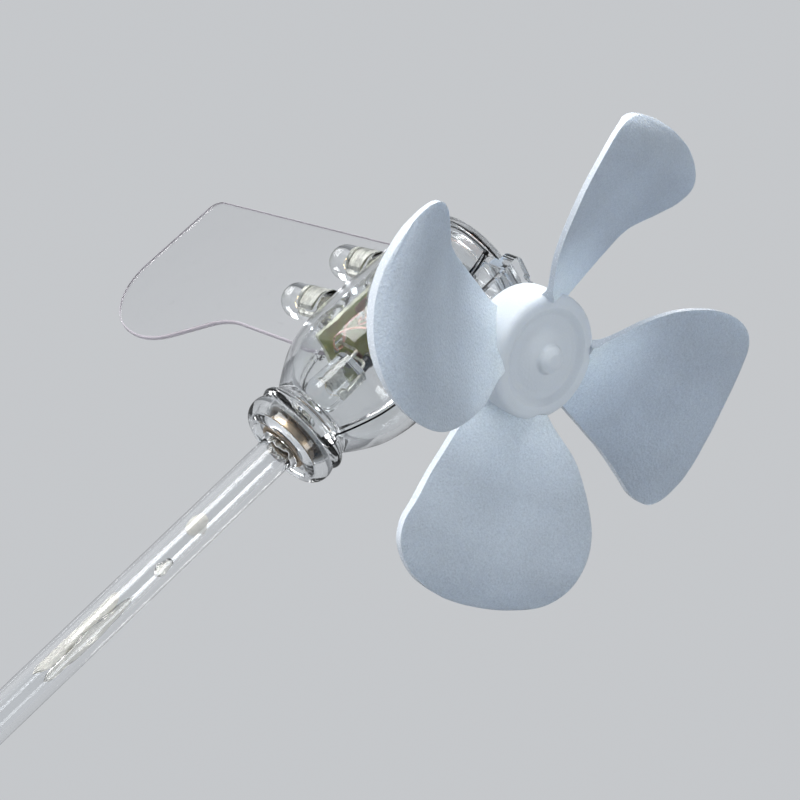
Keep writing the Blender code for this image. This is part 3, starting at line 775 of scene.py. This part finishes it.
# ------------------------------------------------------------------ board
BY, BT = 5.7, 0.8
bm = prism_bm(rounded([(-4.9, -13.6, 0.4), (4.9, -13.6, 0.4), (4.9, 2.8, 0.8), (-4.9, 2.8, 0.8)], 3), BY, BY + BT, "Y")
board = finish_mesh("circuit_board_plate", bm, None, M_BOARD, smooth=False, mats=[M_BOARD_EDGE])
holes = [plain(prism_bm(rounded([(-2.2, -12.2, 0.3), (-1.3, -12.2, 0.3), (-1.3, -9.9, 0.3), (-2.2, -9.9, 0.3)], 4), BY - 1, BY + 2, "Y"))]
for hx, hz in ((-1.1, -12.3), (2.6, -3.6), (-2.6, -6.4), (3.4, -8.6)):
    holes.append(plain(lathe_bm([(0, -BY - 2), (0.4, -BY - 2), (0.4, -BY + 1), (0, -BY + 1)], 20, "Y", (hx, 0, hz))))
boolean(board, holes)
for p in board.data.polygons:
    if abs(p.normal.y) < 0.5:
        p.material_index = 1
board.data.shade_smooth()
board.data.set_sharp_from_angle(angle=math.radians(30))
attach(board, "head")
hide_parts("circuit_board")

bm = bmesh.new()
for (x, z, a, b) in ((0.2, -0.8, 3.6, 2.6), (-3.1, -4.6, 1.4, 2.2), (3.2, -5.2, 1.2, 1.8), (2.8, -10.2, 1.3, 0.9)):
    prism_bm(rounded([(x - a, z - b, 0.5), (x + a, z - b, 0.5), (x + a, z + b, 0.5), (x - a, z + b, 0.5)], 5), BY - 0.07, BY + 0.02, "Y", bm)
for pts in ([(-3.1, 5.66, -6.6), (-3.1, 5.66, -9.0), (-1.1, 5.66, -11.0), (-1.1, 5.66, -12.2)],
            [(3.2, 5.66, -6.9), (3.4, 5.66, -8.6), (2.8, 5.66, -9.8)]):
    sweep_bm(catmull(pts, 4), 0.22, 8, bm)
finish_mesh("board_copper_pads", bm, "head", M_FOIL, smooth=False)

bm = bmesh.new()
for i, (x, z, s) in enumerate(((-1.1, -12.3, 0.42), (2.6, -3.6, 0.6), (-2.6, -6.4, 0.66), (3.4, -8.6, 0.6), (-4.2, -1.9, 0.45), (1.0, -11.3, 0.6))):
    lathe_bm([(0, -BY), (s, -BY), (s * 0.92, -BY + 0.12), (s * 0.55, -BY + 0.34), (s * 0.25, -BY + 0.5), (0, -BY + 0.54)], 24, "Y", (x, 0, z), bm)
finish_mesh("solder_joints", bm, "head", M_SOLDER, angle=70)

bm = lathe_bm(rounded([(0, -1.9), (0.9, -1.9, 0.25), (0.9, 1.9, 0.25), (0, 1.9)], 4), 36, "Z", (3.0, BY - 1.25, -11.0))
diode = finish_mesh("diode_body", bm, "head", M_BLACK, replaces=["rectifier_diode"], mats=[M_BAND])
for p in diode.data.polygons:
    c = (p.center.z - H) / MM + 11.0
    if 0.9 < c < 1.4:
        p.material_index = 1
bm = bmesh.new()
for s in (-1, 1):
    sweep_bm(catmull([(3.0, BY - 1.25, -11.0 + s * 1.8), (3.0, BY - 1.25, -11.0 + s * 2.1), (3.0, BY - 0.9, -11.0 + s * 2.35), (3.0, BY - 0.05, -11.0 + s * 2.4)], 5), 0.2, 10, bm)
finish_mesh("diode_leads", bm, "head", M_TIN)


# ------------------------------------------------------------------ generator
def slotted(name, node, y0, y1, hole):
    """Pole plate: a disc with a hole and four windows."""
    ob = finish_mesh(name, lathe_bm(rounded([(hole, y0, 0.08), (7.3, y0, 0.12), (7.3, y1, 0.12), (hole, y1, 0.08)], 3), 96, "Y"), None, M_STEEL)
    cut = []
    for k in range(4):
        a = math.radians(45 + 90 * k)
        q = []
        for s in range(-6, 7):
            q.append((6.2 * math.cos(a + s * 0.07), 6.2 * math.sin(a + s * 0.07)))
        for s in range(6, -7, -1):
            q.append((4.9 * math.cos(a + s * 0.07), 4.9 * math.sin(a + s * 0.07)))
        cut.append(plain(prism_bm(q, -y1 - 1, -y0 + 1, "Y")))
    boolean(ob, cut)
    ob.data.shade_smooth()
    ob.data.set_sharp_from_angle(angle=math.radians(40))
    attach(ob, "head")
    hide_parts(node)


slotted("stator_plate_front", "pole_plate_front", 2.5, 3.2, 1.7)
slotted("stator_plate_rear", "pole_plate_rear", -4.4, -3.7, 2.5)
lathe("winding_bobbin", [(4.4, -3.4, 0.1), (7.3, -3.4, 0.2), (7.3, -2.8, 0.2), (5.0, -2.8, 0.1), (5.0, 1.6, 0.1),
                         (7.3, 1.6, 0.2), (7.3, 2.2, 0.2), (4.4, 2.2, 0.1)], "head", M_CREAM, 96, "Y", replaces=["coil_bobbin"])
turns = [(5.3, -2.5)]
n = 15
for i in range(n * 4 + 1):
    h = -2.5 + 3.8 * i / (n * 4)
    turns.append((7.06 + 0.11 * abs(math.sin(math.pi * i / 4)), h))
turns.append((5.3, 1.3))
finish_mesh("generator_winding", lathe_bm(turns, 96, "Y"), "head", M_WIRE, replaces=["generator_coil"], angle=80)
bm = bmesh.new()
sweep_bm(catmull([(-4.6, -2.4, -5.4), (-4.4, -1.0, -6.8), (-4.0, 1.5, -7.7), (-3.2, 3.8, -8.2), (-2.6, 5.3, -6.6), (-2.6, 5.5, -6.4)], 8), 0.13, 8, bm)
sweep_bm(catmull([(-3.6, -2.2, -6.2), (-4.6, -1.6, -8.6), (-5.6, 0.6, -10.4), (-4.8, 3.2, -12.2), (-2.2, 4.9, -12.6), (-1.1, 5.4, -12.3)], 8), 0.13, 8, bm)
finish_mesh("winding_tails", bm, "head", M_WIRE)
lathe("magnet_ring", [(1.3, -3.0, 0.15), (4.0, -3.0, 0.3), (4.0, 1.9, 0.3), (1.3, 1.9, 0.15)], "rotor", M_FERRITE, 72, "Y", replaces=["generator_magnet"])
lathe("shaft_rod", [(0, -5.2), (1.0, -5.2, 0.25), (1.0, 22.8, 0.25), (0, 22.8)], "rotor", M_SHAFT, 48, "Y", replaces=["rotor_shaft"])
lathe("bush_rear_ring", [(1.3, -4.9, 0.1), (2.2, -4.9, 0.15), (2.2, -3.5, 0.15), (1.3, -3.5, 0.1)], "head", M_BRASS, 64, "Y", replaces=["shaft_bush_rear"])
lathe("bush_front_ring", [(1.3, 12.2, 0.1), (2.2, 12.2, 0.15), (2.2, 16.4, 0.15), (1.3, 16.4, 0.1)], "head", M_BRASS, 64, "Y", replaces=["shaft_bush_front"])

# ------------------------------------------------------------------ propeller
LEADING = [(7.7, 36.5, 3.8), (12.2, 44.4, 6.5), (16.0, 45.4, 8.2), (22.8, 41.5, 11.0), (27.8, 34.9, 11.7),
           (31.0, 27.8, 10.5), (32.4, 19.8, 7.9), (32.9, 11.0, 6.0), (33.0, 3.7, 5.3)]
TRAILING = [(7.7, -17.5, -1.2), (12.0, -16.5, -0.9), (16.5, -15.3, -0.4), (21.0, -15.0, 0.3), (25.0, -16.8, 2.1),
            (28.0, -17.8, 3.3), (30.7, -15.7, 4.5), (32.4, -8.4, 5.1), (33.0, 3.0, 5.3)]
PHASE, DISC_Y = 113.5, 20.05


def spline(pts, t):
    n = len(pts) - 1
    x = min(max(t, 0.0), 1.0) * n
    i = min(int(x), n - 1)
    f = x - i
    p0, p1, p2, p3 = pts[max(i - 1, 0)], pts[i], pts[i + 1], pts[min(i + 2, n)]
    return [0.5 * (2 * b + (c - a) * f + (2 * a - 5 * b + 4 * c - d) * f * f
                   + (3 * b - a - 3 * c + d) * f ** 3) for a, b, c, d in zip(p0, p1, p2, p3)]


def blade_bm(phase, warp=0.0, rows=64, cols=30):
    grid = []
    for i in range(rows + 1):
        t = 1 - (1 - i / rows) ** 1.5
        lead, trail = spline(LEADING, t), spline(TRAILING, t)
        row = []
        for j in range(cols + 1):
            c = 0.5 - 0.5 * math.cos(math.pi * j / cols)
            c = 0.5 * c + 0.5 * j / cols
            r, a, w = [q * (1 - c) + p * c for p, q in zip(lead, trail)]
            w += 0.7 * math.sin(math.pi * c) * math.sin(math.pi * min(1, 0.15 + t * 0.8))
            # radial and sideways distance from the blade's own centre line
            u, v = 0.9985 * r * math.cos(math.radians(a)), 0.9985 * r * math.sin(math.radians(a))
            flex = warp * min(1.0, max(0.0, (r - 8.35) / 10))
            w, v = w - flex * v, v * (1 + flex)
            c0, s0 = math.cos(math.radians(phase)), math.sin(math.radians(phase))
            row.append(Vector((u * c0 - v * s0, -DISC_Y - w, u * s0 + v * c0)))
        grid.append(row)
    bm = bmesh.new()
    front, back = [], []
    for i, row in enumerate(grid):
        fr, bk = [], []
        t = i / rows
        for j, p in enumerate(row):
            k = min(i, rows - 1)
            du = grid[min(k + 1, rows)][j] - grid[max(k - 1, 0)][j]
            dv = grid[k][min(j + 1, cols)] - grid[k][max(j - 1, 0)]
            rad = math.hypot(p.x, p.z)
            fillet = 1.0 * math.exp(-max(0.0, rad - 8.3) / 0.55)
            nrm = du.cross(dv).normalized()
            if nrm.y > 0:
                nrm = -nrm
            # the mould opens along Y, so the rim of the blade is cut parallel to Y
            lift = Vector((0, -0.4 / max(0.62, abs(nrm.y)), 0)) + nrm * fillet * 0.5
            fr.append(bm.verts.new(at(*(p + lift))))
            bk.append(bm.verts.new(at(*(p - lift))))
        front.append(fr)
        back.append(bk)
    for i in range(rows):
        for j in range(cols):
            bm.faces.new((front[i][j], front[i][j + 1], front[i + 1][j + 1], front[i + 1][j]))
            bm.faces.new((back[i][j], back[i + 1][j], back[i + 1][j + 1], back[i][j + 1]))
        # rim faces take slot 1, the tint with painted edge glow
        for j in (0, cols):
            f = bm.faces.new((front[i][j], front[i + 1][j], back[i + 1][j], back[i][j]))
            f.material_index = 1
    for i in (0, rows):
        for j in range(cols):
            f = bm.faces.new((front[i][j + 1], front[i][j], back[i][j], back[i][j + 1]))
            f.material_index = 1
    return bm


hub_prof = rounded([(1.3, 18.6, 0.1), (2.6, 18.6, 0.2), (2.6, 22.1, 0.3), (6.2, 22.1, 0.6), (7.15, 21.2, 0.5), (7.15, 18.0, 0.15),
                    (8.35, 18.0, 0.3), (8.35, 24.1, 1.0), (6.6, 24.15, 0.35), (5.7, 23.55, 0.4), (4.6, 23.75, 0.6), (3.0, 24.4, 0.9),
                    (2.05, 24.55, 0.3), (1.75, 25.2, 0.5), (0.9, 25.7, 0.5), (0, 25.75, 0), (0, 23.1, 0), (1.3, 23.1, 0.1)], 5)
hub_prof = [(max(r, 0.0), h) for r, h in hub_prof]
prop = finish_mesh("propeller_moulding", lathe_bm(hub_prof, 144, "Y"), None, M_HUB, mats=[M_PAINTED_EDGE_GLOW, M_FROST])
blades = []
for k in range(4):
    b = plain(blade_bm(PHASE + 90 * k, 0.09 if k == 3 else 0.0), "blade")
    for m in (M_FROST, M_PAINTED_EDGE_GLOW):
        b.data.materials.append(m)
    blades.append(b)
boolean(prop, blades, "UNION")
bv = prop.modifiers.new("bevel", "BEVEL")
bv.width = 0.14 * MM
bv.segments = 2
bv.limit_method = "ANGLE"
bv.angle_limit = math.radians(60)
bake(prop)
prop.data.shade_smooth()
prop.data.set_sharp_from_angle(angle=math.radians(45))
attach(prop, "rotor")
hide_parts("propeller")

# ------------------------------------------------------------------ floor, light
m, nt, b = mat("pale_floor", Base_Color=(0.45, 0.46, 0.475), Roughness=0.6)
bm = bmesh.new()
bmesh.ops.create_grid(bm, x_segments=2, y_segments=2, size=3.0)
me = bpy.data.meshes.new("floor")
bm.to_mesh(me)
bm.free()
floor = bpy.data.objects.new("floor", me)
floor.location = (0, 0, cad_low.z - 0.0005)
bpy.context.scene.collection.objects.link(floor)
me.materials.append(m)

TARGET = at(0, -12, -6)


def softbox(name, right, up, back, size, power, colour=(1, 1, 1)):
    ld = bpy.data.lights.new(name, "AREA")
    ld.shape = "RECTANGLE"
    ld.size, ld.size_y = size
    ld.energy = power
    ld.color = colour
    lo = bpy.data.objects.new(name, ld)
    lo.location = TARGET + RIGHT * right + UP * up + BACK * back
    lo.rotation_mode = "QUATERNION"
    lo.rotation_quaternion = (TARGET - lo.location).to_track_quat("-Z", "Y")
    lo.visible_camera = lo.visible_glossy = False
    bpy.context.scene.collection.objects.link(lo)
    return lo


softbox("key", -0.14, 0.43, 0.20, (0.30, 0.22), 3.2, (1.0, 0.99, 0.97))
softbox("rim", 0.10, 0.42, -0.28, (0.40, 0.14), 3.0, (0.97, 0.98, 1.0))
softbox("fill", 0.42, -0.12, 0.26, (0.22, 0.30), 1.0, (0.96, 0.98, 1.0))

world = bpy.data.worlds.new("studio")
bpy.context.scene.world = world
world.use_nodes = True
wn = world.node_tree
PALE = (0.56, 0.575, 0.595, 1)


def wnode(kind, **kw):
    n = wn.nodes.new(kind)
    for k, v in kw.items():
        setattr(n, k, v)
    return n


tc = wnode("ShaderNodeTexCoord")
glow = None


def card(direction, inner, outer, level):
    """Soft round light card in the studio's walls, seen in reflections only."""
    global glow
    d = wnode("ShaderNodeVectorMath", operation="DOT_PRODUCT")
    d.inputs[1].default_value = direction.normalized()
    wn.links.new(tc.outputs["Generated"], d.inputs[0])
    r = wnode("ShaderNodeMapRange", interpolation_type="SMOOTHSTEP")
    r.inputs["From Min"].default_value = math.cos(math.radians(outer))
    r.inputs["From Max"].default_value = math.cos(math.radians(inner))
    r.inputs["To Max"].default_value = level
    wn.links.new(d.outputs["Value"], r.inputs["Value"])
    if glow is None:
        glow = r.outputs["Result"]
        return
    a = wnode("ShaderNodeMath", operation="ADD")
    wn.links.new(glow, a.inputs[0])
    wn.links.new(r.outputs["Result"], a.inputs[1])
    glow = a.outputs[0]


card(UP * 0.9 - RIGHT * 0.6 + BACK * 0.2, 16, 36, 1.5)
card(UP * 0.7 + RIGHT * 0.8 - BACK * 0.3, 12, 28, 0.9)
card(-UP * 0.6 + RIGHT * 0.9 + BACK * 0.5, 10, 22, 0.7)
card(BACK, 4, 30, 0.25)
base = wnode("ShaderNodeMath", operation="ADD")
base.inputs[1].default_value = 0.20
wn.links.new(glow, base.inputs[0])
refl = wn.nodes["Background"]
refl.inputs["Color"].default_value = (0.95, 0.97, 1.0, 1)
wn.links.new(base.outputs[0], refl.inputs["Strength"])
pale = wnode("ShaderNodeBackground")
pale.inputs["Color"].default_value = PALE
diff = wnode("ShaderNodeBackground")
diff.inputs["Color"].default_value = PALE
diff.inputs["Strength"].default_value = 0.8
lp = wnode("ShaderNodeLightPath")
see = wnode("ShaderNodeMath", operation="MAXIMUM")
wn.links.new(lp.outputs["Is Camera Ray"], see.inputs[0])
wn.links.new(lp.outputs["Is Transmission Ray"], see.inputs[1])
m1 = wnode("ShaderNodeMixShader")
wn.links.new(lp.outputs["Is Diffuse Ray"], m1.inputs["Fac"])
wn.links.new(refl.outputs[0], m1.inputs[1])
wn.links.new(diff.outputs[0], m1.inputs[2])
m2 = wnode("ShaderNodeMixShader")
wn.links.new(see.outputs[0], m2.inputs["Fac"])
wn.links.new(m1.outputs[0], m2.inputs[1])
wn.links.new(pale.outputs[0], m2.inputs[2])
wn.links.new(m2.outputs[0], wn.nodes["World Output"].inputs["Surface"])
sc = bpy.context.scene
sc.view_settings.view_transform = "Standard"
sc.cycles.max_bounces = 24
sc.cycles.transmission_bounces = 20
sc.cycles.transparent_max_bounces = 24
sc.cycles.use_denoising = True

for ob in bpy.context.scene.objects:
    if ob.type == "MESH" and ob is not floor and "frame_node" not in ob and len(ob.data.polygons) > 0 and ob.name in PIECES:
        wn_mod = ob.modifiers.new("weighted_normals", "WEIGHTED_NORMAL")
        wn_mod.keep_sharp = True
        wn_mod.weight = 60
